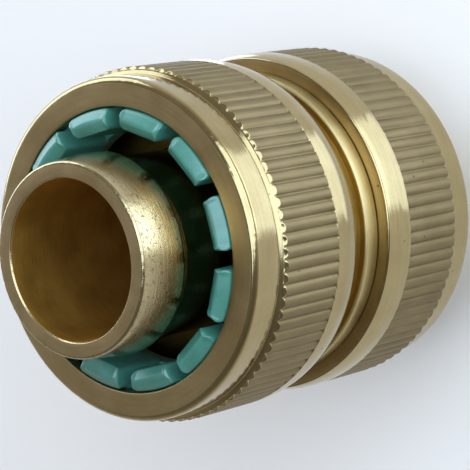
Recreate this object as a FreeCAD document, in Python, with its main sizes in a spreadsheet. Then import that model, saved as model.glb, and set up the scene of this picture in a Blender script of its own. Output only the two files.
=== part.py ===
import FreeCAD, Part
import os

import Sketcher

# A hose mender: one turned brass body with a barbed spigot at each end, and at each end a knurled
# union nut that squeezes a plastic collet onto the hose. It stands on its lower mouth, axis along Z.
# All sizes are in millimetres.

# Driving dimensions

SIZES = [
    ("total_length", 40.5, "mouth to mouth"),
    ("bore_radius", 6.0, "water way through the body"),
    ("bore_chamfer", 0.12, "inner edge of each mouth"),
    ("mouth_radius", 7.25, "spigot at its mouth"),
    ("mouth_chamfer", 0.2, "outer edge of each mouth"),
    ("barb_radius", 7.65, "land of each barb"),
    ("barb_land", 0.8, "length of the land"),
    ("barb_length", 4.05, "front of a barb to the back of its land"),
    ("barb_back", 0.95, "slope behind the land"),
    ("neck_radius", 6.95, "spigot behind its barb"),
    ("collar_rise", 0.7, "ring between the nuts, above the thread"),
    ("collar_width", 1.75, "ring between the nuts"),
    ("thread_radius", 11.5, "crest of the male thread"),
    ("thread_length", 5.5, "collar to the end of the thread"),
    ("thread_chamfer", 0.6, "lead-in at the end of the thread"),
    ("thread_clearance", 0.08, "nut over the thread, on the radius"),
    ("nut_length", 11.45, "face to face"),
    ("nut_wall", 1.92, "thread bore to the crest of the knurl"),
    ("nut_edge_drop", 0.55, "smooth band beside the hose face, below the crest"),
    ("nut_edge_chamfer", 0.3, "edge between the hose face and the band"),
    ("nut_edge_width", 2.9, "hose face to the knurl's shoulder"),
    ("knurl_start", 2.45, "collar end of the nut to the foot of the grooves"),
    ("knurl_count", 90, "grooves round the nut"),
    ("knurl_depth", 0.27, "depth of a groove"),
    ("knurl_width", 0.46, "width of a groove at the crest"),
    ("nut_back_width", 1.2, "slope at the collar end of the nut"),
    ("nut_back_drop", 0.35, "fall of that slope"),
    ("nut_lip", 0.86, "hole in the hose face, inside the thread bore"),
    ("cone_start", 0.9, "hose face to the start of the squeezing cone"),
    ("cone_length", 1.3, "length of the squeezing cone"),
    ("collet_clearance", 0.08, "collet inside the nut, on the radius"),
    ("collet_seat", 0.12, "lower collet to the end of the thread"),
    ("collet_base", 1.4, "closed ring at the base"),
    ("collet_step", 0.4, "foot of a slot to the step inside a finger"),
    ("finger_thickness", 1.74, "finger at its tip, flat inside to round outside"),
    ("finger_rise", 0.3, "flat inside of a finger, inside the base ring"),
    ("tip_stand", 0.45, "finger tips in front of the nut's face"),
    ("tip_slope", 0.75, "outer edge of a finger tip, fall"),
    ("tip_slope_width", 0.55, "outer edge of a finger tip, width"),
    ("tip_bevel", 0.45, "fall of the bevel inside a finger tip"),
    ("tip_bevel_width", 0.75, "width of that bevel"),
    ("finger_count", 12, "fingers of a collet"),
    ("slot_width", 1.35, "gap between two fingers"),
    ("upper_gap", 2.35, "upper nut to the collar, as photographed"),
    ("lower_gap", 0.07, "lower nut to the collar"),
]

doc = FreeCAD.newDocument("hose_mender")
sheet = doc.addObject("Spreadsheet::Sheet", "Sizes")
for row, (alias, size, meaning) in enumerate(SIZES, start=1):
    sheet.set("A%d" % row, str(size))
    sheet.set("B%d" % row, meaning)
    sheet.setAlias("A%d" % row, alias)
doc.recompute()


# Helpers

def new_body(name):
    """An empty body whose label names its file."""
    body = doc.addObject("PartDesign::Body", name)
    body.Label = name
    return body


def origin_plane(body, role):
    """One of the body's own origin planes or axes, found by its role."""
    return [item for item in body.Origin.OriginFeatures if item.Role == role][0]


def new_sketch(body, name, role):
    """A sketch lying on one of the body's origin planes."""
    sketch = body.newObject("Sketcher::SketchObject", name)
    sketch.AttachmentSupport = (origin_plane(body, role), [""])
    sketch.MapMode = "FlatFace"
    return sketch


def fix_point(sketch, edge, formulas):
    """Dimension the start of an edge from the sketch's origin, across and up."""
    for kind, axis, formula in (("DistanceX", -2, formulas[0]), ("DistanceY", -1, formulas[1])):
        size = float(sketch.evalExpression(formula))
        if abs(size) < 1e-9:
            sketch.addConstraint(Sketcher.Constraint("PointOnObject", edge, 1, axis))
            continue
        index = sketch.addConstraint(Sketcher.Constraint(kind, -1, 1, edge, 1, size))
        sketch.setExpression("Constraints[%d]" % index, formula)


def closed_outline(sketch, corners):
    """Draw a closed outline of straight lines through corners, each (across, up) as formulas."""
    points = []
    for corner in corners:
        across, up = [float(sketch.evalExpression(formula)) for formula in corner]
        points.append(FreeCAD.Vector(across, up, 0))
    for index in range(len(corners)):
        sketch.addGeometry(Part.LineSegment(points[index], points[(index + 1) % len(points)]), False)
    for index, corner in enumerate(corners):
        before = index - 1 if index else len(corners) - 1
        sketch.addConstraint(Sketcher.Constraint("Coincident", before, 2, index, 1))
        fix_point(sketch, index, corner)


def revolve(body, name, corners):
    """Turn a closed outline, drawn as radius and height, about the body's Z axis."""
    sketch = new_sketch(body, name + "_outline", "XZ_Plane")
    closed_outline(sketch, corners)
    turned = body.newObject("PartDesign::Revolution", name)
    turned.Profile = sketch
    turned.ReferenceAxis = (sketch, ["V_Axis"])
    turned.Angle = 360
    return turned


def repeat_round(body, name, feature, count):
    """Repeat a feature about the body's Z axis, count times in the full turn."""
    pattern = body.newObject("PartDesign::PolarPattern", name)
    pattern.Originals = [feature]
    pattern.Axis = (origin_plane(body, "Z_Axis"), [""])
    pattern.Angle = 360
    pattern.setExpression("Occurrences", count)
    body.Tip = pattern
    return pattern


def check_cut(body, feature):
    """Stop if a cut has taken nothing away."""
    doc.recompute()
    before = feature.BaseFeature.Shape.Volume
    if feature.Shape.Volume >= before - 1e-6:
        raise RuntimeError("%s cuts nothing from %s" % (feature.Name, body.Label))


# The turned brass body

HALF = "Sizes.total_length / 2"


def half_corners(sign):
    """Outline of one half, from its mouth to the collar, heights measured from the lower mouth."""
    def up(distance_from_mouth):
        return "%s %s (%s - (%s))" % (HALF, sign, HALF, distance_from_mouth)

    def beyond_collar(distance):
        return "%s %s (Sizes.collar_width / 2 + %s)" % (HALF, sign, distance)

    return [
        ("Sizes.bore_radius", up("Sizes.bore_chamfer")),
        ("Sizes.bore_radius + Sizes.bore_chamfer", up("0")),
        ("Sizes.mouth_radius - Sizes.mouth_chamfer", up("0")),
        ("Sizes.mouth_radius", up("Sizes.mouth_chamfer")),
        ("Sizes.barb_radius", up("Sizes.barb_length - Sizes.barb_land")),
        ("Sizes.barb_radius", up("Sizes.barb_length")),
        ("Sizes.neck_radius", up("Sizes.barb_length + Sizes.barb_back")),
        ("Sizes.neck_radius", beyond_collar("Sizes.thread_length")),
        ("Sizes.thread_radius - Sizes.thread_chamfer", beyond_collar("Sizes.thread_length")),
        ("Sizes.thread_radius", beyond_collar("Sizes.thread_length - Sizes.thread_chamfer")),
        ("Sizes.thread_radius", beyond_collar("0")),
        ("Sizes.thread_radius + Sizes.collar_rise", beyond_collar("0")),
    ]


def make_body():
    """Collar, two threads and two barbed spigots, turned in one piece round a through bore."""
    body = new_body("body")
    revolve(body, "turning", half_corners("+") + half_corners("-")[::-1])
    return body


# The union nut

THREAD_BORE = "Sizes.thread_radius + Sizes.thread_clearance"
OPENING = THREAD_BORE + " - Sizes.nut_lip"
NUT_RADIUS = THREAD_BORE + " + Sizes.nut_wall"
NUT_EDGE = NUT_RADIUS + " - Sizes.nut_edge_drop"


def nut_corners():
    """Half section of a nut: its collar end at 0, its hose face at the nut's length."""
    def down(distance_from_face):
        return "Sizes.nut_length - (%s)" % distance_from_face

    return [
        (THREAD_BORE, "0"),
        (NUT_RADIUS + " - Sizes.nut_back_drop", "0"),
        (NUT_RADIUS, "Sizes.nut_back_width"),
        (NUT_RADIUS, down("Sizes.nut_edge_width")),
        (NUT_EDGE, down("Sizes.nut_edge_width")),
        (NUT_EDGE, down("Sizes.nut_edge_chamfer")),
        (NUT_EDGE + " - Sizes.nut_edge_chamfer", down("0")),
        (OPENING, down("0")),
        (OPENING, down("Sizes.cone_start")),
        (THREAD_BORE, down("Sizes.cone_start + Sizes.cone_length")),
    ]


def make_nut(name):
    """A union nut: turned blank, then the straight knurl cut groove by groove."""
    body = new_body(name)
    revolve(body, name + "_blank", nut_corners())
    groove = new_sketch(body, name + "_groove_outline", "XY_Plane")
    groove.setExpression("AttachmentOffset.Base.z", "Sizes.knurl_start")
    bottom = NUT_RADIUS + " - Sizes.knurl_depth"
    top = NUT_RADIUS + " + Sizes.knurl_depth"
    closed_outline(groove, [(bottom, "0"), (top, "-Sizes.knurl_width"), (top, "Sizes.knurl_width")])
    cut = body.newObject("PartDesign::Pocket", name + "_groove")
    cut.Profile = groove
    cut.Reversed = True
    cut.setExpression("Length", "Sizes.nut_length - Sizes.knurl_start")
    check_cut(body, cut)
    repeat_round(body, name + "_knurl", cut, "Sizes.knurl_count")
    return body


# The collet

# the lower collet ends just clear of the thread, so its length follows from the nut's and the thread's
TIP_BEYOND_COLLAR = "Sizes.lower_gap + Sizes.nut_length + Sizes.tip_stand"
COLLET_LENGTH = "(%s - Sizes.thread_length - Sizes.collet_seat)" % TIP_BEYOND_COLLAR
FACE = COLLET_LENGTH + " - Sizes.tip_stand"
FINGER_FOOT = "Sizes.collet_base + Sizes.collet_step"
FINGER_OUTSIDE = OPENING + " - Sizes.collet_clearance"
FINGER_FLAT = FINGER_OUTSIDE + " - Sizes.finger_thickness"
COLLET_BORE = FINGER_FLAT + " + Sizes.finger_rise"
COLLET_OUTSIDE = THREAD_BORE + " - Sizes.collet_clearance"


def collet_corners():
    """Half section of a collet before its slots: base at 0, finger tips at its length."""
    return [
        (COLLET_BORE, "0"),
        (COLLET_OUTSIDE, "0"),
        (COLLET_OUTSIDE, FACE + " - Sizes.cone_start - Sizes.cone_length"),
        (FINGER_OUTSIDE, FACE + " - Sizes.cone_start"),
        (FINGER_OUTSIDE, COLLET_LENGTH + " - Sizes.tip_slope"),
        (FINGER_OUTSIDE + " - Sizes.tip_slope_width", COLLET_LENGTH),
        (FINGER_FLAT + " - Sizes.finger_rise", COLLET_LENGTH),
        (FINGER_FLAT + " - Sizes.finger_rise", FINGER_FOOT),
        (COLLET_BORE, FINGER_FOOT),
    ]


def make_collet(name):
    """A ring of sprung fingers, flat inside, that the nut's cone closes onto the hose."""
    body = new_body(name)
    revolve(body, name + "_blank", collet_corners())
    above_tips = COLLET_LENGTH + " + Sizes.tip_bevel"

    # a slot seen from the axis, half a finger round from the first flat
    slot = new_sketch(body, name + "_slot_outline", "YZ_Plane")
    slot.AttachmentOffset = FreeCAD.Placement(FreeCAD.Vector(), FreeCAD.Rotation(FreeCAD.Vector(0, 1, 0), 15))
    slot.setExpression("AttachmentOffset.Rotation.Angle", "180 / Sizes.finger_count")
    left, right = "-Sizes.slot_width / 2", "Sizes.slot_width / 2"
    foot = "Sizes.collet_base"
    closed_outline(slot, [(left, foot), (right, foot), (right, above_tips), (left, above_tips)])
    slot_cut = body.newObject("PartDesign::Pocket", name + "_slot")
    slot_cut.Profile = slot
    slot_cut.Reversed = True
    slot_cut.setExpression("Length", NUT_RADIUS)
    check_cut(body, slot_cut)
    repeat_round(body, name + "_slots", slot_cut, "Sizes.finger_count")

    # each finger is flat inside, with a bevel towards its tip
    flat = new_sketch(body, name + "_flat_outline", "XZ_Plane")
    bevel_end = FINGER_FLAT + " + Sizes.tip_bevel_width"
    closed_outline(flat, [
        ("0", FINGER_FOOT),
        (FINGER_FLAT, FINGER_FOOT),
        (FINGER_FLAT, COLLET_LENGTH + " - Sizes.tip_bevel"),
        (bevel_end, COLLET_LENGTH),
        (bevel_end, above_tips),
        ("0", above_tips),
    ])
    flat_cut = body.newObject("PartDesign::Pocket", name + "_flat")
    flat_cut.Profile = flat
    flat_cut.SideType = "Symmetric"
    flat_cut.setExpression("Length", "2 * (%s) * tan(180 / Sizes.finger_count)" % COLLET_BORE)
    check_cut(body, flat_cut)
    repeat_round(body, name + "_flats", flat_cut, "Sizes.finger_count")
    return body


# The pieces in their places, standing on the lower mouth

def stand(piece, height, upside_down):
    """Put a piece on the axis at a height, its hose end up or, turned over, down."""
    turn = FreeCAD.Rotation(FreeCAD.Vector(1, 0, 0), 180 if upside_down else 0)
    piece.Placement = FreeCAD.Placement(FreeCAD.Vector(0, 0, 0), turn)
    piece.setExpression(".Placement.Base.z", height)


UPPER_NUT = HALF + " + Sizes.collar_width / 2 + Sizes.upper_gap"
LOWER_NUT = HALF + " - Sizes.collar_width / 2 - Sizes.lower_gap"
COLLET_IN_NUT = "(Sizes.nut_length + Sizes.tip_stand - %s)" % COLLET_LENGTH

body = make_body()
nut_upper = make_nut("nut_upper")
nut_lower = make_nut("nut_lower")
collet_upper = make_collet("collet_upper")
collet_lower = make_collet("collet_lower")
stand(body, "0", False)
stand(nut_upper, UPPER_NUT, False)
stand(nut_lower, LOWER_NUT, True)
stand(collet_upper, UPPER_NUT + " + " + COLLET_IN_NUT, False)
stand(collet_lower, LOWER_NUT + " - " + COLLET_IN_NUT, True)
doc.recompute()

# Checks, then one file for each piece

PIECES = [body, nut_upper, collet_upper, nut_lower, collet_lower]
for item in doc.Objects:
    if "Invalid" in item.State or "Error" in item.State:
        raise RuntimeError("%s failed: %s" % (item.Name, item.State))
for piece in PIECES:
    if piece.Shape.isNull() or not piece.Shape.isValid() or len(piece.Shape.Solids) != 1:
        raise RuntimeError("%s has no single valid solid" % piece.Label)

os.makedirs("parts", exist_ok=True)
for piece in PIECES:
    piece.Shape.exportStep("parts/%s.step" % piece.Label)
    box = piece.Shape.BoundBox
    print("%-13s %8.1f mm3, z %6.2f to %6.2f" % (piece.Label, piece.Shape.Volume, box.ZMin, box.ZMax))
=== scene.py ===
import math

import bpy
import numpy as np
from mathutils import Matrix


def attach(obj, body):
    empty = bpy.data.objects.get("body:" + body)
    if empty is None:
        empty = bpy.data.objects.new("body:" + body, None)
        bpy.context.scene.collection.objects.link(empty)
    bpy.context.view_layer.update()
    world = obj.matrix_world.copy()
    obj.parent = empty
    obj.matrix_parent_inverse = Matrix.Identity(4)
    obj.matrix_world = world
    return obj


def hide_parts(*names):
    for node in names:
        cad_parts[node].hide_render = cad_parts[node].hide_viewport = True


# The hose mender, standing on its lower mouth. Lengths in this file are millimetres and become metres
# where a mesh or lamp is made. The camera alone is placed in metres.

MM = 0.001
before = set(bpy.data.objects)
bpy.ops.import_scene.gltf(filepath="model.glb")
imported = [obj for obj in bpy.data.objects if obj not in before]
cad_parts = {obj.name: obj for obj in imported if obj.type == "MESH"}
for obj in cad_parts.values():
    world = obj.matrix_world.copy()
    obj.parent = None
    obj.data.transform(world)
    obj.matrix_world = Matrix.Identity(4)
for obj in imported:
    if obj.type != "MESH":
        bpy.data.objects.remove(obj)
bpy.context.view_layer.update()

# Sizes of the pieces, most of them the solids' own. The barb, the collar's upper edge and the nut's
# shoulder follow the photo more closely than the solids do.

TOTAL_LENGTH = 40.5
MIDDLE = TOTAL_LENGTH / 2
BORE = 6.0
MOUTH = 7.25
BARB = 7.65
BARB_START = 3.85  # the barb and the neck start this far from the mouth
BARB_END = 4.05
NECK = 6.95
NECK_START = 5.0
COLLAR = 12.2
COLLAR_HALF = 0.875
COLLAR_TOP = 0.52  # the collar's upper edge above the middle, the lower one lying at COLLAR_HALF
THREAD = 11.5
THREAD_LENGTH = 5.5
THREAD_LEAD = 0.6
NUT_LENGTH = 11.45
NUT_CREST = 13.5
NUT_BAND = 12.95
NUT_SHOULDER = 2.62  # depths below the nut's hose face, like KNURL_END, CONE_START and CONE_END
NUT_RIDGES = 2.81
NUT_BORE = 11.58
NUT_OPENING = 10.72
KNURL_COUNT = 90
KNURL_END = 9.0
KNURL_DEPTH = 0.27
FINGERS = 12
SLOT = 1.35
FINGER_OUTSIDE = 10.64
FINGER_FLAT = 8.9
COLLET_BORE = 9.2
COLLET_OUTSIDE = 11.5
COLLET_LENGTH = 6.35
COLLET_BASE = 1.4
TIP_STAND = 0.45
CONE_START = 0.9
CONE_END = 2.2
UPPER_NUT_FOOT = 23.475
LOWER_NUT_FOOT = 19.305
COLLET_IN_NUT = NUT_LENGTH + TIP_STAND - COLLET_LENGTH


# Mesh helpers

def rounded(corners):
    """Points of a closed outline whose corners, each (across, up, radius, steps), are rounded by arcs."""
    points = []
    for index, (across, up, radius, steps) in enumerate(corners):
        here = np.array([across, up], float)
        if radius <= 0:
            points.append(here)
            continue
        before = np.array(corners[index - 1][:2], float)
        after = np.array(corners[(index + 1) % len(corners)][:2], float)
        points.extend(arc(here, before - here, after - here, radius, steps))
    return np.array(points)


def arc(corner, one, other, radius, steps):
    """Points of the arc that rounds a corner between two directions, from the first to the second."""
    one = one / np.linalg.norm(one)
    other = other / np.linalg.norm(other)
    half = math.acos(np.clip(one @ other, -1, 1)) / 2
    reach = radius / math.tan(half)
    middle = corner + (one + other) / np.linalg.norm(one + other) * radius / math.sin(half)
    first = corner + one * reach - middle
    last = corner + other * reach - middle
    angle = math.pi - 2 * half
    points = []
    for step in range(steps + 1):
        share = step / steps
        spoke = math.sin((1 - share) * angle) * first + math.sin(share * angle) * last
        points.append(middle + spoke / math.sin(angle))
    return points


def divided(points, longest):
    """The same closed outline with long runs divided, longest(start, end) being the limit for a run."""
    result = []
    for index, start in enumerate(points):
        end = points[(index + 1) % len(points)]
        pieces = max(1, math.ceil(np.linalg.norm(end - start) / longest(start, end)))
        result.extend(start + (end - start) * piece / pieces for piece in range(pieces))
    return np.array(result)


def grid_faces(rows, columns, close_rows):
    """Quads of a grid of points numbered row by row, each row being closed."""
    row = np.arange(rows if close_rows else rows - 1)[:, None]
    column = np.arange(columns)[None, :]
    next_row = (row + 1) % rows
    next_column = (column + 1) % columns
    quads = np.stack([row * columns + column, row * columns + next_column,
                      next_row * columns + next_column, next_row * columns + column], axis=-1)
    return quads.reshape(-1, 4)


def make_piece(name, vertices, faces, zones=None):
    """A smooth mesh object from points in millimetres, its faces divided among its materials by zone."""
    mesh = bpy.data.meshes.new(name)
    mesh.from_pydata((np.asarray(vertices) * MM).tolist(), [], [tuple(map(int, face)) for face in faces])
    mesh.update()
    mesh.polygons.foreach_set("use_smooth", [True] * len(mesh.polygons))
    if zones is not None:
        mesh.polygons.foreach_set("material_index", np.asarray(zones, np.int32))
    piece = bpy.data.objects.new(name, mesh)
    bpy.context.scene.collection.objects.link(piece)
    return piece


def turned(radius, height, columns):
    """Points of a surface of revolution from grids of radius and height, one row for each profile point."""
    angle = np.arange(columns) * 2 * math.pi / columns
    radius = np.broadcast_to(radius, (radius.shape[0], columns))
    height = np.broadcast_to(height, (height.shape[0], columns))
    return np.stack([radius * np.cos(angle), radius * np.sin(angle), height], axis=-1)


def stood(points, height, upside_down):
    """Points of a piece set on the axis at a height, turned over about X where its hose end points down."""
    points = np.array(points, float)
    if upside_down:
        points[..., 1:] *= -1
    points[..., 2] += height
    return points


def wobble(angle, seed, waves, size):
    """A slow closed wave round the axis, for hand-worn edges."""
    chance = np.random.default_rng(seed)
    total = np.zeros_like(angle)
    for wave in waves:
        total += chance.normal() * np.cos(wave * angle) + chance.normal() * np.sin(wave * angle)
    return total * size / math.sqrt(len(waves))


# Zones of the brass, each with a finish of its own; the colours of the bore, recess, knurl and collar zones
# also hold painted reflection, shade and light
SPIGOT, INSIDE, END_FACE, RECESS_PAINTED_SHADE, BAND, KNURL, HOSE_FACE, COLLAR_WALL_PAINTED_LIGHT = range(8)


# Turned body: two barbed spigots, two threads and the collar

BODY_COLUMNS = 288
BODY_STEP = 0.6
MOUTH_CHAMFER = 0.10  # across, inside the mouth
MOUTH_CHAMFER_FALL = 0.12
MOUTH_RIM = 0.34  # width of the mouth's rim that stays unworn
MOUTH_WEAR = 0.012
MOUTH_WEAR_REACH = 0.35
THREAD_PITCH = 1.5
THREAD_DEPTH = 0.85
THREAD_STEP = 0.1
THREAD_ROOT_SHARE = 0.12
THREAD_FLANK_SHARE = 0.76
GROOVE_REACH = 1.1  # plain groove between the thread and the collar
GROOVE_FADE = 0.35
GROOVE_CORNER = 0.12
TINY = 0.001


def half_body():
    """Corners of the upper half, from the bore to the thread's upper end, heights from the middle."""
    top = MIDDLE
    thread_top = COLLAR_HALF + THREAD_LENGTH
    return [
        (BORE, top - MOUTH_CHAMFER_FALL, 0.05, 2),
        (BORE + MOUTH_CHAMFER, top, 0.05, 2),
        (MOUTH, top, 0.24, 8),
        (BARB, top - BARB_START, 0.12, 3),
        (BARB, top - BARB_END, 0.5, 5),
        (NECK, top - NECK_START, 0.3, 4),
        (NECK, thread_top, 0.25, 4),
        (THREAD - THREAD_LEAD, thread_top, 0.08, 2),
        (THREAD, thread_top - THREAD_LEAD, 0.1, 2),
    ]


def collar_edge():
    """Corners where the collar leaves the thread, above and below the middle."""
    above = [(THREAD, COLLAR_TOP, 0.12, 3), (COLLAR, COLLAR_TOP, 0.24, 6)]
    below = [(COLLAR, -COLLAR_HALF, 0.03, 2), (THREAD, -COLLAR_HALF, 0.12, 3)]
    return above + below


def body_outline():
    """Closed outline of the body, as radius and height from the middle, finely divided on the thread."""
    def thread_step(start, end):
        on_thread = min(start[0], end[0]) > THREAD - THREAD_LEAD and max(start[0], end[0]) <= THREAD + TINY
        return THREAD_STEP if on_thread else math.inf

    upper = half_body()
    lower = [(radius, -height, fillet, steps) for radius, height, fillet, steps in upper[::-1]]
    outline = divided(rounded(upper + collar_edge() + lower), lambda start, end: BODY_STEP)
    return divided(outline, thread_step)


def body_zones(outline):
    """Finish of each row of faces of the body, with a painted reflection in the bore, painted shade in the
    recess and painted light on the collar.
    """
    middle = (outline + np.roll(outline, -1, axis=0)) / 2
    radius = middle[:, 0]
    height = np.abs(middle[:, 1])
    in_bore = radius < BORE + 0.02
    between = height < COLLAR_HALF + THREAD_LENGTH + 0.01
    zone = np.full(len(outline), SPIGOT)
    # painted reflection: the bore gets a deep orange brass, standing in for light bounced between its walls
    zone[in_bore] = INSIDE
    zone[~in_bore & (radius < MOUTH - 0.2) & (height > MIDDLE - 0.06)] = END_FACE
    # painted shade: the thread's recess gets a darker, more golden copy of the brass
    zone[between & (radius > NECK + 0.5)] = RECESS_PAINTED_SHADE
    # painted light: the collar's wall gets a lighter copy of the brass, lifting the shade it sits in between
    # the nuts
    zone[between & (radius > COLLAR - 0.25)] = COLLAR_WALL_PAINTED_LIGHT
    return zone


def make_body():
    outline = body_outline()
    radius = outline[:, 0][:, None]
    height = outline[:, 1][:, None]
    angle = (np.arange(BODY_COLUMNS) * 2 * math.pi / BODY_COLUMNS)[None, :]

    # right-hand thread, fading into a plain groove beside the collar
    beyond = np.where(height > 0, height - COLLAR_TOP, -height - COLLAR_HALF)
    on_thread = (radius > THREAD - THREAD_LEAD - 0.05) & (radius <= THREAD + TINY) & (beyond > TINY)
    turn = height / THREAD_PITCH - angle / (2 * math.pi)
    tooth = np.abs(2 * (turn - np.floor(turn)) - 1)
    depth = THREAD_DEPTH * np.clip((tooth - THREAD_ROOT_SHARE) / THREAD_FLANK_SHARE, 0, 1)
    near_collar = np.clip((GROOVE_REACH - beyond) / GROOVE_FADE, 0, 1)
    depth = depth * (1 - near_collar) + THREAD_DEPTH * near_collar
    beside = np.clip(beyond / GROOVE_CORNER, 0, 1)
    cut = np.where(on_thread, depth * beside, 0)
    radius = np.where(on_thread, np.minimum(radius, THREAD - cut), radius)
    radius = np.broadcast_to(radius, (len(outline), BODY_COLUMNS)).copy()

    # the upper mouth's edge isn't perfectly even
    near_mouth = np.clip(1 - (MIDDLE - np.abs(height)) / MOUTH_WEAR_REACH, 0, 1) * (height > 0)
    outer = np.clip((radius - BORE - MOUTH_RIM) / (MOUTH - BORE - MOUTH_RIM), 0, 1)
    worn = near_mouth * outer * np.abs(wobble(angle, 3, range(9, 70, 3), MOUTH_WEAR))
    height = np.broadcast_to(height, radius.shape) - worn
    points = stood(turned(radius, height, BODY_COLUMNS), MIDDLE, False)
    faces = grid_faces(len(outline), BODY_COLUMNS, True)
    zones = np.repeat(body_zones(outline), BODY_COLUMNS)
    return make_piece("body_turning", points.reshape(-1, 3), faces, zones)


# Union nuts with their straight knurl

KNURL_SAMPLES = 10
NUT_COLUMNS = KNURL_COUNT * KNURL_SAMPLES
NUT_EDGE_ROUND = 0.56
SLOPE_RISE = 0.33  # the shoulder's slope, up to the ridges' ends
END_CHAMFER = 0.20
REAR_TAPER = 1.0
REAR_TAPER_RISE = 0.30
FACE_STEP = 0.4  # longest runs of the outline, on the hose face, the outside, the slope and inside
OUTSIDE_STEP = 0.5
SLOPE_STEP = 0.06
INSIDE_STEP = 2.5
RUNOUT_ROWS = (-0.1, -0.05, 0.0, 0.04, 0.09)
RUNOUT_CLEAR = (-0.16, 0.15)
RIDGE_POWER = 0.56  # of the sine that shapes a ridge: less gives a flatter ridge and a narrower groove
RIDGE_POWER_VARIES = 0.05
GROOVE_SHARE = 0.95
GROOVE_VARIES = 0.10
CREST_VARIES = 0.010
END_BULGE = 0.05
NICKED_SHARE = 0.18
NICK_DEPTH = 0.06
EDGE_WEAR = 0.010


def nut_outline():
    """Closed outline of a nut, as radius and depth below the hose face."""
    def longest(start, end):
        if max(start[1], end[1]) < TINY:
            return FACE_STEP
        if min(start[0], end[0]) > NUT_BAND + 0.02 and start[1] < NUT_RIDGES + END_CHAMFER:
            return SLOPE_STEP
        return OUTSIDE_STEP if min(start[0], end[0]) > NUT_BAND - 0.6 else INSIDE_STEP

    outline = divided(rounded([
        (NUT_OPENING, 0.0, 0.14, 4),
        (NUT_BAND, 0.0, NUT_EDGE_ROUND, 10),
        (NUT_BAND, NUT_SHOULDER, 0.05, 3),
        (NUT_BAND + 0.26, NUT_RIDGES - 0.01, 0.03, 2),
        (NUT_BAND + SLOPE_RISE, NUT_RIDGES, 0.03, 2),
        (NUT_CREST, NUT_RIDGES + END_CHAMFER, 0.06, 3),
        (NUT_CREST, NUT_LENGTH - REAR_TAPER, 5.0, 8),
        (NUT_CREST - REAR_TAPER_RISE, NUT_LENGTH, 0.16, 5),
        (NUT_BORE, NUT_LENGTH, 0.2, 3),
        (NUT_BORE, CONE_END, 0.0, 1),
        (NUT_OPENING, CONE_START, 0.0, 1),
    ]), longest)

    # rows where the grooves run out, in place of those that were there
    def on_crest(point):
        return point[0] > NUT_CREST - 1e-6

    rows = [np.array([NUT_CREST, KNURL_END + shift]) for shift in RUNOUT_ROWS]
    kept = [point for point in outline
            if not (on_crest(point) and RUNOUT_CLEAR[0] < point[1] - KNURL_END < RUNOUT_CLEAR[1])]
    place = next(index for index, point in enumerate(kept) if on_crest(point) and point[1] > KNURL_END)
    return np.array(kept[:place] + rows + kept[place:])


def nut_zones(outline):
    """Finish of each row of faces of a nut, with painted shade on the knurl and in the bore's recess."""
    middle = (outline + np.roll(outline, -1, axis=0)) / 2
    radius = middle[:, 0]
    depth = middle[:, 1]
    zone = np.full(len(outline), BAND)
    zone[(depth < 0.01) & (radius < NUT_BAND - 0.5)] = HOSE_FACE
    zone[radius < NUT_OPENING + 0.1] = HOSE_FACE
    # painted shade: the knurled band gets a darker copy of the brass
    zone[(depth > NUT_RIDGES + 0.17) & (depth < KNURL_END + 0.02) & (radius > NUT_BAND + 0.3)] = KNURL
    zone[(depth > NUT_LENGTH - 0.05) & (radius < NUT_CREST - 0.5)] = HOSE_FACE
    # painted shade: the nut's bore gets the darker, more golden recess brass
    zone[(radius < NUT_BORE + 0.1) & (depth > CONE_START)] = RECESS_PAINTED_SHADE
    return zone


def make_nut(name, foot, upside_down, seed):
    chance = np.random.default_rng(seed)
    outline = nut_outline()
    radius = np.repeat(outline[:, 0][:, None], NUT_COLUMNS, axis=1)
    depth = np.repeat(outline[:, 1][:, None], NUT_COLUMNS, axis=1)
    angle = (np.arange(NUT_COLUMNS) * 2 * math.pi / NUT_COLUMNS)[None, :]
    place = np.arange(NUT_COLUMNS) / KNURL_SAMPLES
    ridge = np.floor(place).astype(int) % KNURL_COUNT
    across = place - np.floor(place)

    # ridges with round crests and narrower grooves, each a little different, running out at both ends
    power = RIDGE_POWER + RIDGE_POWER_VARIES * chance.normal(size=KNURL_COUNT)[ridge]
    groove = 1 - np.abs(np.sin(math.pi * across)) ** power
    uneven = 1 + GROOVE_VARIES * chance.normal(size=KNURL_COUNT)[ridge] * (across > 0)
    sunk = KNURL_DEPTH * GROOVE_SHARE * groove * uneven
    sunk += CREST_VARIES * np.abs(chance.normal(size=KNURL_COUNT)[ridge]) * (1 - groove)
    outside = (radius > NUT_BAND + 0.02) & (depth > NUT_SHOULDER - 0.3) & (depth < KNURL_END + 0.1)
    runout = np.clip((KNURL_END + 0.03 - depth) / 0.1, 0, 1)
    radius = np.where(outside, np.minimum(radius, NUT_CREST - sunk[None, :] * runout), radius)

    # ridge ends start unevenly, and some are nicked
    bulge = END_BULGE * np.sin(math.pi * across) * (1 + 0.5 * chance.normal(size=KNURL_COUNT)[ridge])
    on_end = np.clip(1 - np.abs(depth - NUT_RIDGES - 0.1) / 0.25, 0, 1) * (radius > NUT_BAND + 0.3)
    depth = depth + np.where(outside, on_end * np.clip(bulge, -0.03, 0.10)[None, :], 0)
    nicked = (chance.random(KNURL_COUNT) < NICKED_SHARE)[ridge] * np.sin(math.pi * across) ** 2
    near_end = np.clip(1 - (depth - NUT_RIDGES + 0.1) / 0.45, 0, 1) * (radius > NUT_CREST - 0.2)
    radius = np.where(outside, radius - NICK_DEPTH * nicked[None, :] * near_end, radius)

    # the front edge is dulled by handling
    on_edge = np.clip(1 - np.hypot(radius - NUT_BAND, depth) / 0.6, 0, 1)
    worn = on_edge * np.abs(wobble(angle, seed + 7, range(11, 120, 5), EDGE_WEAR))
    radius = radius - worn * 0.6
    depth = depth + worn * 0.5
    points = stood(turned(radius, NUT_LENGTH - depth, NUT_COLUMNS), foot, upside_down)
    faces = grid_faces(len(outline), NUT_COLUMNS, True)[:, ::-1]
    return make_piece(name, points.reshape(-1, 3), faces, np.repeat(nut_zones(outline), NUT_COLUMNS))


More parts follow.
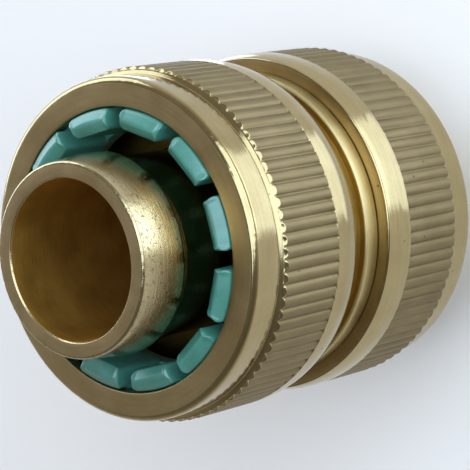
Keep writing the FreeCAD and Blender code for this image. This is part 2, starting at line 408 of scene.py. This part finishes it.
# Collets: a ring with sprung fingers

CORNER_STEPS = 7
SIDE_RUNS = 9
WALL_GAP = 0.01  # the collet is this much inside the nut's own wall
FINGER_ROWS = 14
FINGER_SINK = 0.3  # each finger's foot lies this far inside the base ring
FINGER_TOP_START = 0.95
FINGER_SPREAD = 0.04
FINGER_CORNER_OUT = 0.35
FINGER_CORNER_IN = 0.42
TIP_CORNER = 0.035
TIP_NARROWER = (0.80, 0.74, 0.26)  # the flat top's edges lie inside the finger's outer, inner and side walls
BASE_EDGE = 0.15
RING_COLUMNS = 180

# Shapes of a finger's tip from the wall to the flat top, as (share of the way in, fall below the top)
TIP_IN = np.array([(0.0, 0.62), (0.015, 0.56), (0.05, 0.51), (0.11, 0.465), (0.3, 0.33), (0.6, 0.165),
                   (0.86, 0.04), (0.93, 0.015), (1.0, 0.0)])
TIP_OUT = np.array([(0.0, 0.72), (0.03, 0.56), (0.08, 0.47), (0.15, 0.40), (0.35, 0.295), (0.62, 0.16),
                    (0.85, 0.05), (0.94, 0.015), (1.0, 0.0)])
TIP_TURN = np.linspace(0, math.pi / 2, len(TIP_IN))
TIP_SIDE = np.column_stack([1 - np.cos(TIP_TURN), 0.30 * (1 - np.sin(TIP_TURN))])


def finger_outline(outer, inner, side, corner_out, corner_in):
    """Closed plan of a finger on the X axis: flat inside, round outside, sides parallel to the slots.

    Returns the points and, for each, how far it belongs to the inner, outer and side edges."""
    half = math.pi / FINGERS
    direction = np.array([math.cos(half), math.sin(half)])

    # where the side, which lies off the slot's middle line, meets the outer circle and the flat
    reach = math.sqrt(outer ** 2 - side ** 2)
    outer_corner = np.array([reach * math.cos(half) + side * math.sin(half),
                             reach * math.sin(half) - side * math.cos(half)])
    inner_corner = outer_corner - direction * (outer_corner[0] - inner) / direction[0]
    tangent = np.array([-outer_corner[1], outer_corner[0]])
    in_arc = arc(inner_corner, np.array([0.0, -1.0]), direction, corner_in, CORNER_STEPS - 1)
    out_arc = arc(outer_corner, -direction, -tangent, corner_out, CORNER_STEPS - 1)

    points = []
    kinds = []
    for share in np.linspace(0, 1, SIDE_RUNS)[:-1]:
        points.append(in_arc[0] * np.array([1, share]))
        kinds.append((1.0, 0.0, 0.0))
    for share, point in zip(np.linspace(0, 1, CORNER_STEPS), in_arc):
        points.append(point)
        kinds.append((1 - share, 0.0, share))
    for share in np.linspace(0, 1, SIDE_RUNS)[1:-1]:
        points.append(in_arc[-1] + (out_arc[0] - in_arc[-1]) * share)
        kinds.append((0.0, 0.0, 1.0))
    for share, point in zip(np.linspace(0, 1, CORNER_STEPS), out_arc):
        points.append(point)
        kinds.append((0.0, share, 1 - share))
    start = math.atan2(out_arc[-1][1], out_arc[-1][0])
    for share in np.linspace(1, 0, SIDE_RUNS)[1:]:
        angle = start * share
        points.append(np.array([math.cos(angle), math.sin(angle)]) * np.linalg.norm(out_arc[-1]))
        kinds.append((0.0, 1.0, 0.0))
    points = np.array(points)
    kinds = np.array(kinds)

    # the other side is the mirror image
    mirror = points[1:-1][::-1] * np.array([1, -1])
    return np.vstack([points, mirror]), np.vstack([kinds, kinds[1:-1][::-1]])


def finger_wall(outer):
    """Plan of a finger's walls for one radius of its outside."""
    return finger_outline(outer - WALL_GAP, FINGER_FLAT, SLOT / 2, FINGER_CORNER_OUT, FINGER_CORNER_IN)


def finger_mesh(chance):
    """Points and faces of one finger on the X axis, standing on the collet's base, tip at its length."""
    face = COLLET_LENGTH - TIP_STAND
    rows = []
    spread = FINGER_SPREAD * chance.normal()
    for height in np.linspace(COLLET_BASE - FINGER_SINK, COLLET_LENGTH - FINGER_TOP_START, FINGER_ROWS):
        share = np.clip((face - height - CONE_START) / (CONE_END - CONE_START), 0, 1)
        plan = finger_wall(FINGER_OUTSIDE + (COLLET_OUTSIDE - FINGER_OUTSIDE) * share)[0]
        rows.append(np.column_stack([plan, np.full(len(plan), height)]))
    wall, kinds = finger_wall(FINGER_OUTSIDE)
    top = finger_outline(FINGER_OUTSIDE - TIP_NARROWER[0], FINGER_FLAT + TIP_NARROWER[1],
                         SLOT / 2 + TIP_NARROWER[2], TIP_CORNER, TIP_CORNER)[0]
    for tip_in, tip_out, tip_side in zip(TIP_IN, TIP_OUT, TIP_SIDE):
        inward, drop = (kinds @ np.array([tip_in, tip_out, tip_side])).T
        plan = wall + (top - wall) * inward[:, None]
        rows.append(np.column_stack([plan, COLLET_LENGTH - drop]))
    rows = np.array(rows)
    count = rows.shape[1]
    lean = np.clip((rows[..., 2] - COLLET_BASE) / (COLLET_LENGTH - COLLET_BASE), 0, 1)
    rows[..., 1] += spread * lean ** 2
    points = rows.reshape(-1, 3)
    faces = [tuple(face) for face in grid_faces(len(rows), count, False)]
    last = (len(rows) - 1) * count
    points = np.vstack([points, points[last:].mean(axis=0)])
    top_cap = [(last + i, last + (i + 1) % count, len(points) - 1) for i in range(count)]
    foot_cap = [tuple(range(count))[::-1]]
    return points, faces + top_cap + foot_cap


def make_collet(name, foot, upside_down, seed):
    chance = np.random.default_rng(seed)
    outside = COLLET_OUTSIDE - WALL_GAP
    outline = rounded([
        (COLLET_BORE, 0.0, BASE_EDGE, 3),
        (COLLET_BORE, COLLET_BASE, BASE_EDGE, 3),
        (outside, COLLET_BASE, BASE_EDGE, 3),
        (outside, 0.0, BASE_EDGE, 3),
    ])
    ring = turned(outline[:, :1], outline[:, 1:], RING_COLUMNS)
    vertices = [ring.reshape(-1, 3)]
    faces = [tuple(face) for face in grid_faces(len(outline), RING_COLUMNS, True)]
    offset = len(vertices[0])
    for finger in range(FINGERS):
        points, finger_faces = finger_mesh(chance)
        angle = 2 * math.pi * finger / FINGERS
        cosine = math.cos(angle)
        sine = math.sin(angle)
        turn = np.array([[cosine, -sine, 0], [sine, cosine, 0], [0, 0, 1]])
        vertices.append(points @ turn.T)
        faces += [tuple(index + offset for index in corners) for corners in finger_faces]
        offset += len(points)
    return make_piece(name, stood(np.vstack(vertices), foot, upside_down), faces)


# Materials

RING_SCALE = 7.0
RING_DRIFT = 3.0
STREAKS_ROUND = 26.0
STREAKS_ALONG = 0.16
PIT_TINT = (0.07, 0.05, 0.025, 1.0)
SPECK_TINT = (0.10, 0.08, 0.045, 1.0)
BUMP_HEIGHT = 0.00001


def new_material(name):
    """An empty node material and its shader."""
    material = bpy.data.materials.new(name)
    material.use_nodes = True
    tree = material.node_tree
    tree.nodes.clear()
    output = tree.nodes.new("ShaderNodeOutputMaterial")
    shader = tree.nodes.new("ShaderNodeBsdfPrincipled")
    tree.links.new(shader.outputs["BSDF"], output.inputs["Surface"])
    return material, tree, shader


def node(tree, kind, inputs=(), **settings):
    """A new node with its settings and inputs, an input being a number or another node's output."""
    made = tree.nodes.new(kind)
    for key, value in settings.items():
        setattr(made, key, value)
    for key, value in dict(inputs).items():
        if isinstance(value, bpy.types.NodeSocket):
            tree.links.new(value, made.inputs[key])
        else:
            made.inputs[key].default_value = value
    return made


def maths(tree, operation, first, second=0.0, third=0.0, clamp=False):
    inputs = {0: first, 1: second, 2: third}
    return node(tree, "ShaderNodeMath", inputs, operation=operation, use_clamp=clamp).outputs[0]


def ramp(tree, factor, stops):
    """A colour ramp through stops, each (place, colour)."""
    made = node(tree, "ShaderNodeValToRGB", {"Fac": factor})
    band = made.color_ramp
    while len(band.elements) < len(stops):
        band.elements.new(0.5)
    for element, (place, colour) in zip(band.elements, stops):
        element.position = place
        element.color = (*colour, 1.0)
    return made.outputs["Color"]


def grey(tree, factor, stops):
    return ramp(tree, factor, [(place, (value, value, value)) for place, value in stops])


def noise(tree, place, scale, detail, roughness):
    """Factor of a noise texture."""
    return node(tree, "ShaderNodeTexNoise", {
        "Vector": place, "Scale": scale, "Detail": detail, "Roughness": roughness,
    }).outputs["Fac"]


def axis_coordinates(tree):
    """Position in millimetres, its distance from the axis, and cosine and sine of its azimuth."""
    place = node(tree, "ShaderNodeTexCoord").outputs["Object"]
    to_mm = (1 / MM, 1 / MM, 1 / MM)
    scaled = node(tree, "ShaderNodeVectorMath", {0: place, 1: to_mm}, operation="MULTIPLY").outputs[0]
    apart = node(tree, "ShaderNodeSeparateXYZ", {0: scaled})
    across = node(tree, "ShaderNodeCombineXYZ", {"X": apart.outputs["X"], "Y": apart.outputs["Y"]}).outputs[0]
    radius = node(tree, "ShaderNodeVectorMath", {0: across}, operation="LENGTH").outputs["Value"]
    cosine = maths(tree, "DIVIDE", apart.outputs["X"], radius)
    sine = maths(tree, "DIVIDE", apart.outputs["Y"], radius)
    return scaled, radius, apart.outputs["Z"], cosine, sine


def turning_marks(tree, radius, height, cosine, sine):
    """Fine rings left by the lathe tool, on faces as on walls."""
    place = node(tree, "ShaderNodeCombineXYZ", {
        "X": maths(tree, "MULTIPLY", radius, RING_SCALE),
        "Y": maths(tree, "MULTIPLY", height, RING_SCALE),
        "Z": maths(tree, "MULTIPLY", cosine, RING_DRIFT),
    }).outputs[0]
    return node(tree, "ShaderNodeTexNoise", {
        "Vector": place, "W": maths(tree, "MULTIPLY", sine, RING_DRIFT),
        "Scale": 1.0, "Detail": 3.0, "Roughness": 0.6,
    }, noise_dimensions="4D").outputs["Fac"]


def rolled_marks(tree, height, cosine, sine):
    """Streaks along the axis, left by the knurling wheel."""
    place = node(tree, "ShaderNodeCombineXYZ", {
        "X": maths(tree, "MULTIPLY", cosine, STREAKS_ROUND),
        "Y": maths(tree, "MULTIPLY", sine, STREAKS_ROUND),
        "Z": maths(tree, "MULTIPLY", height, STREAKS_ALONG),
    }).outputs[0]
    return noise(tree, place, 1.0, 3.0, 0.65)


def weighted(tree, *terms):
    """Sum of terms, each (output, weight)."""
    total = maths(tree, "MULTIPLY", *terms[0])
    for term in terms[1:]:
        total = maths(tree, "ADD", total, maths(tree, "MULTIPLY", *term))
    return total


def stained(tree, colour, mask, amount, tint):
    """The colour, mixed with a tint where the mask is white."""
    return node(tree, "ShaderNodeMix", {
        "Factor": maths(tree, "MULTIPLY", mask, amount, clamp=True), 6: colour, 7: tint,
    }, data_type="RGBA").outputs[2]


def bumped(tree, shader, height, strength):
    """Fine relief on a shader, in hundredths of a millimetre."""
    bump = node(tree, "ShaderNodeBump", {"Height": height, "Strength": strength, "Distance": BUMP_HEIGHT})
    tree.links.new(bump.outputs["Normal"], shader.inputs["Normal"])


def brass(name, colours, rough, marks, grain, pits=0.0, speckle=0.0, metal=1.0, rolled=False):
    """Turned or rolled brass: tool marks, fine grain, small pits and slow stains."""
    material, tree, shader = new_material(name)
    place, radius, height, cosine, sine = axis_coordinates(tree)
    if rolled:
        lines = rolled_marks(tree, height, cosine, sine)
    else:
        lines = turning_marks(tree, radius, height, cosine, sine)
    fine = noise(tree, place, 9.0, 4.0, 0.65)
    stain = noise(tree, place, 0.32, 5.0, 0.6)
    cells = node(tree, "ShaderNodeTexVoronoi", {"Vector": place, "Scale": 0.42, "Randomness": 1.0})
    hole = grey(tree, cells.outputs["Distance"], [(0.0, 1.0), (0.022, 1.0), (0.05, 0.0)])
    speck = grey(tree, noise(tree, place, 3.4, 3.0, 0.7), [(0.57, 0.0), (0.67, 1.0)])

    tone = weighted(tree, (stain, 0.45), (lines, 0.35), (fine, 0.20))
    colour = ramp(tree, tone, [(0.36, colours[0]), (0.50, colours[1]), (0.64, colours[2])])
    colour = stained(tree, colour, hole, pits, PIT_TINT)
    colour = stained(tree, colour, speck, speckle, SPECK_TINT)
    tree.links.new(colour, shader.inputs["Base Color"])
    shader.inputs["Metallic"].default_value = metal

    off_stain = maths(tree, "SUBTRACT", stain, 0.5)
    off_fine = maths(tree, "SUBTRACT", fine, 0.5)
    uneven = weighted(tree, (off_stain, 0.5 * rough), (off_fine, 0.6 * rough))
    in_holes = maths(tree, "MULTIPLY", hole, 0.3)
    roughness = maths(tree, "ADD", maths(tree, "ADD", uneven, rough), in_holes, clamp=True)
    tree.links.new(roughness, shader.inputs["Roughness"])
    relief = weighted(tree, (lines, marks), (fine, grain), (hole, -3.0 * pits), (speck, -1.2 * speckle))
    bumped(tree, shader, relief, 1.0)
    return material


def plastic(name, colours):
    """Moulded plastic with a soft gloss."""
    material, tree, shader = new_material(name)
    place = axis_coordinates(tree)[0]
    cloud = noise(tree, place, 0.45, 4.0, 0.6)
    fine = noise(tree, place, 7.0, 3.0, 0.6)
    tone = weighted(tree, (cloud, 0.7), (fine, 0.3))
    colour = ramp(tree, tone, [(0.35, colours[0]), (0.5, colours[1]), (0.65, colours[2])])
    tree.links.new(colour, shader.inputs["Base Color"])
    shader.inputs["Roughness"].default_value = 0.30
    shader.inputs["Specular IOR Level"].default_value = 0.85
    shader.inputs["IOR"].default_value = 1.49
    shader.inputs["Subsurface Weight"].default_value = 0.12
    shader.inputs["Subsurface Radius"].default_value = (0.2, 0.6, 0.5)
    shader.inputs["Subsurface Scale"].default_value = MM
    bumped(tree, shader, weighted(tree, (cloud, 3.0), (fine, 1.0)), 0.6)
    return material


def floor_material():
    """Plain pale studio floor."""
    material, tree, shader = new_material("pale_floor")
    place = node(tree, "ShaderNodeTexCoord").outputs["Object"]
    cloud = noise(tree, place, 3.0, 2.0, 0.5)
    colour = ramp(tree, cloud, [(0.3, (0.955, 0.87, 0.785)), (0.7, (0.965, 0.88, 0.795))])
    tree.links.new(colour, shader.inputs["Base Color"])
    shader.inputs["Roughness"].default_value = 0.9
    shader.inputs["Specular IOR Level"].default_value = 0.2
    return material


# The pieces

# Dark, middle and light colours, roughness, tool marks, grain, pits and speckle, in the order of the zones
BRASS_FINISHES_AND_PAINTED_SHADING = [
    brass("brass_spigot", [(0.345, 0.272, 0.14), (0.43, 0.35, 0.192), (0.515, 0.424, 0.25)],
          0.11, 0.9, 0.9, 0.6, 0.6),
    # painted reflection: deep orange brass for the bore, standing in for light bounced between its walls
    brass("brass_inside_painted_reflection", [(0.50, 0.27, 0.045), (0.62, 0.35, 0.062), (0.70, 0.42, 0.088)],
          0.46, 0.8, 0.5, metal=0.9),
    brass("brass_end_face", [(0.40, 0.288, 0.14), (0.47, 0.348, 0.178), (0.53, 0.398, 0.206)],
          0.36, 0.5, 1.0, 0.6),
    # painted shade: a darker, more golden copy of the brass for the recesses between and inside the parts
    brass("brass_recess_painted_shade", [(0.29, 0.18, 0.04), (0.37, 0.237, 0.056), (0.44, 0.293, 0.076)],
          0.34, 0.7, 0.5),
    brass("brass_band", [(0.325, 0.249, 0.115), (0.378, 0.296, 0.145), (0.435, 0.348, 0.18)],
          0.11, 0.5, 0.3, 0.6),
    # painted shade: a darker copy of the brass for the knurled band
    brass("brass_knurl_painted_shade", [(0.18, 0.134, 0.064), (0.225, 0.171, 0.083), (0.27, 0.208, 0.106)],
          0.53, 0.8, 1.2, 0.8, rolled=True),
    brass("brass_hose_face", [(0.39, 0.28, 0.13), (0.443, 0.327, 0.157), (0.495, 0.37, 0.187)],
          0.34, 0.5, 1.0, 0.8),
    # painted light: a lighter copy of the brass that lifts the shaded collar
    brass("brass_collar_painted_light", [(0.47, 0.36, 0.163), (0.535, 0.42, 0.195), (0.60, 0.485, 0.24)],
          0.42, 0.6, 0.6, 0.4),
]
GREEN = plastic("green_plastic", [(0.050, 0.190, 0.136), (0.063, 0.228, 0.168), (0.080, 0.270, 0.206)])

turning = make_body()
upper_nut = make_nut("nut_upper_turned", UPPER_NUT_FOOT, False, 11)
lower_nut = make_nut("nut_lower_turned", LOWER_NUT_FOOT, True, 23)
upper_collet = make_collet("collet_upper_moulded", UPPER_NUT_FOOT + COLLET_IN_NUT, False, 5)
lower_collet = make_collet("collet_lower_moulded", LOWER_NUT_FOOT - COLLET_IN_NUT, True, 6)
for piece, materials, slot, cad_node, cad_body in (
        (turning, BRASS_FINISHES_AND_PAINTED_SHADING, "turned_brass", "body", "root"),
        (upper_nut, BRASS_FINISHES_AND_PAINTED_SHADING, "knurled_brass", "nut_upper", "upper_nut"),
        (lower_nut, BRASS_FINISHES_AND_PAINTED_SHADING, "knurled_brass", "nut_lower", "lower_nut"),
        (upper_collet, [GREEN], "green_plastic", "collet_upper", "upper_collet"),
        (lower_collet, [GREEN], "green_plastic", "collet_lower", "lower_collet")):
    for material in materials:
        piece.data.materials.append(material)
    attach(piece, cad_body)
    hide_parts(cad_node)

# Floor, world and lamps

FLOOR_REACH = 3.0  # metres

floor_mesh = bpy.data.meshes.new("floor")
floor_corners = [(x * FLOOR_REACH, y * FLOOR_REACH, 0) for x, y in ((-1, -1), (1, -1), (1, 1), (-1, 1))]
floor_mesh.from_pydata(floor_corners, [], [(0, 1, 2, 3)])
floor = bpy.data.objects.new("floor", floor_mesh)
bpy.context.scene.collection.objects.link(floor)
floor.data.materials.append(floor_material())

world = bpy.data.worlds.new("studio")
bpy.context.scene.world = world
world.use_nodes = True
sky = world.node_tree
sky.nodes.clear()
sky_output = sky.nodes.new("ShaderNodeOutputWorld")
direction = node(sky, "ShaderNodeTexCoord").outputs["Generated"]
apart = node(sky, "ShaderNodeSeparateXYZ", {0: direction})
sky_colour = ramp(sky, apart.outputs["Z"], [
    (0.0, (0.85, 0.84, 0.82)), (0.12, (0.80, 0.79, 0.77)),
    (0.45, (0.36, 0.353, 0.34)), (1.0, (0.30, 0.297, 0.295)),
])

# the room is darker on the side away from the lamps
sideways = maths(sky, "MULTIPLY_ADD", apart.outputs["Y"], 0.5, 0.5)
strength = grey(sky, sideways, [(0.08, 0.50), (0.60, 1.0)])
background = node(sky, "ShaderNodeBackground", {"Color": sky_colour, "Strength": strength})
sky.links.new(background.outputs[0], sky_output.inputs["Surface"])


def soft_lamp(name, target, azimuth, elevation, distance, size, radiance, colour):
    """A rectangular soft lamp facing a point on the axis, its strength given as the radiance it shows."""
    az = math.radians(azimuth)
    el = math.radians(elevation)
    towards = np.array([math.cos(el) * math.cos(az), math.cos(el) * math.sin(az), math.sin(el)])
    place = np.array(target, float) + towards * distance
    side = np.array([-math.sin(az), math.cos(az), 0.0])
    above = np.cross(towards, side)
    data = bpy.data.lights.new(name, "AREA")
    data.shape = "RECTANGLE"
    data.size = size[0] * MM
    data.size_y = size[1] * MM
    data.energy = radiance * math.pi * data.size * data.size_y
    data.color = colour
    lamp = bpy.data.objects.new(name, data)
    lamp.matrix_world = Matrix([*zip(side, above, towards, place * MM), (0, 0, 0, 1)])
    lamp.visible_camera = False
    bpy.context.scene.collection.objects.link(lamp)


CENTRE = (0, 0, 24)
COOL = (0.80, 1.0, 1.27)
ICY = (0.80, 1.0, 1.30)
soft_lamp("key_panel", CENTRE, 17, 36, 300, (293, 360), 2.9, COOL)
soft_lamp("rim_panel", CENTRE, 134, 12, 320, (385, 210), 2.6, COOL)
soft_lamp("overhead_panel", CENTRE, 10, 79, 500, (240, 240), 3.0, COOL)

# bright cards lying just over the floor and facing up: a wedge in front of the object, made of strips that
# widen outwards, and one patch behind it
CARD_HEIGHT = 1.5
CARD_STAND_OFF = 0.1
FACING_UP = -90
WEDGE_AZIMUTH = 15.5
WEDGE_DIRECTION = (0.9636, 0.2672)
WEDGE_SPREAD = 0.87
WEDGE_STRIPS = ((22, 30, 1.5), (30, 38, 1.6), (38, 50, 1.6), (50, 66, 2.4), (66, 94, 3.0))
for index, (near, far, radiance) in enumerate(WEDGE_STRIPS):
    middle = (near + far) / 2
    card_place = (middle * WEDGE_DIRECTION[0], middle * WEDGE_DIRECTION[1], CARD_HEIGHT)
    soft_lamp("floor_card_%d" % index, card_place, WEDGE_AZIMUTH, FACING_UP, CARD_STAND_OFF,
              (WEDGE_SPREAD * middle, far - near), radiance, ICY)
soft_lamp("rear_floor_card", (-27, 23, CARD_HEIGHT), 140, FACING_UP, CARD_STAND_OFF, (30, 24), 2.0, ICY)

# Camera at the photograph's viewing angle, in metres

camera_data = bpy.data.cameras.new("camera")
camera_data.sensor_width = 36.0
camera_data.lens = 177.47
camera_data.clip_start = 0.01
camera_data.clip_end = 10.0
camera = bpy.data.objects.new("camera", camera_data)
camera_right = (0.73310, -0.23409, -0.63850)
camera_up = (0.19943, 0.97154, -0.12720)
camera_back = (0.65012, -0.03412, 0.75900)
camera_place = (0.118265, -0.006718, 0.159925)
camera.matrix_world = Matrix([*zip(camera_right, camera_up, camera_back, camera_place), (0, 0, 0, 1)])
bpy.context.scene.collection.objects.link(camera)
bpy.context.scene.camera = camera
bpy.context.scene.view_settings.view_transform = "Standard"

bpy.context.view_layer.update()
